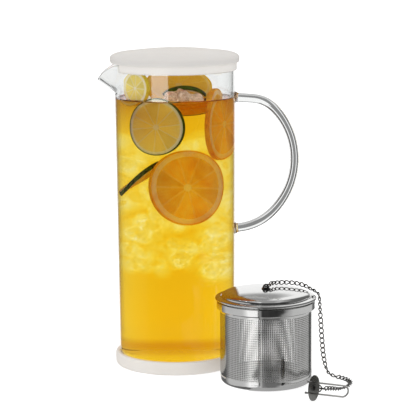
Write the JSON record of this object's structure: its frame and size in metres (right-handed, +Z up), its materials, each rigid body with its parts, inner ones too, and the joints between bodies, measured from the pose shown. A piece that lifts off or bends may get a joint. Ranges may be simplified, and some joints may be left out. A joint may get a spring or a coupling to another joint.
{
  "type": "tea infuser jug",
  "caption": "Tall clear glass jug with a pulled spout, rod handle, silicone lid and foot, and a perforated steel tea infuser on a chain with a wire hook.",
  "frame": {"origin": "middle of the jug's underside, on the table", "axes": "+Z up along the jug's axis, -X towards the spout, +X towards the handle, -Y towards the infuser that stands in front"},
  "size_m": [0.2065, 0.1941, 0.2664],
  "materials": {
    "clear_glass": "polished, clear",
    "white_silicone": "soft matt, slightly translucent",
    "polished_steel": "polished",
    "chain_steel": "bright drawn wire"
  },
  "bodies": {
    "jug": {"glass_body": "clear_glass", "glass_handle": "clear_glass", "base_boot": "white_silicone"},
    "jug_lid": {"jug_lid": "white_silicone"},
    "infuser": {"basket_wall": "polished_steel", "basket_base": "polished_steel", "basket_rim": "polished_steel"},
    "infuser_lid": {"infuser_lid": "polished_steel", "lid_collar": "polished_steel", "lid_eye": "chain_steel", "eye_washer": "chain_steel", "eye_nut": "chain_steel", "chain_top_ring": "chain_steel", "chain": "chain_steel", "chain_end_ring": "chain_steel"},
    "hook": {"hook_disc": "chain_steel", "hook_wire": "chain_steel", "hook_eye": "chain_steel"}
  },
  "joints": [
    {"name": "jug_lid_lift", "type": "slide", "parent": "jug", "child": "jug_lid", "axis": [0, 0, 1], "range_m": [0, 0.06]},
    {"name": "infuser_lift", "type": "slide", "parent": "jug", "child": "infuser", "axis": [0, 0, 1], "range_m": [0, 0.27]},
    {"name": "infuser_lid_lift", "type": "slide", "parent": "infuser", "child": "infuser_lid", "axis": [0, 0, 1], "range_m": [0, 0.05]},
    {"name": "hook_swing", "type": "hinge", "parent": "infuser_lid", "child": "hook", "pos_m": [0.11444, -0.12851, 0.0087], "axis": [0, 0, 1], "range_deg": [-30, 15]}
  ]
}
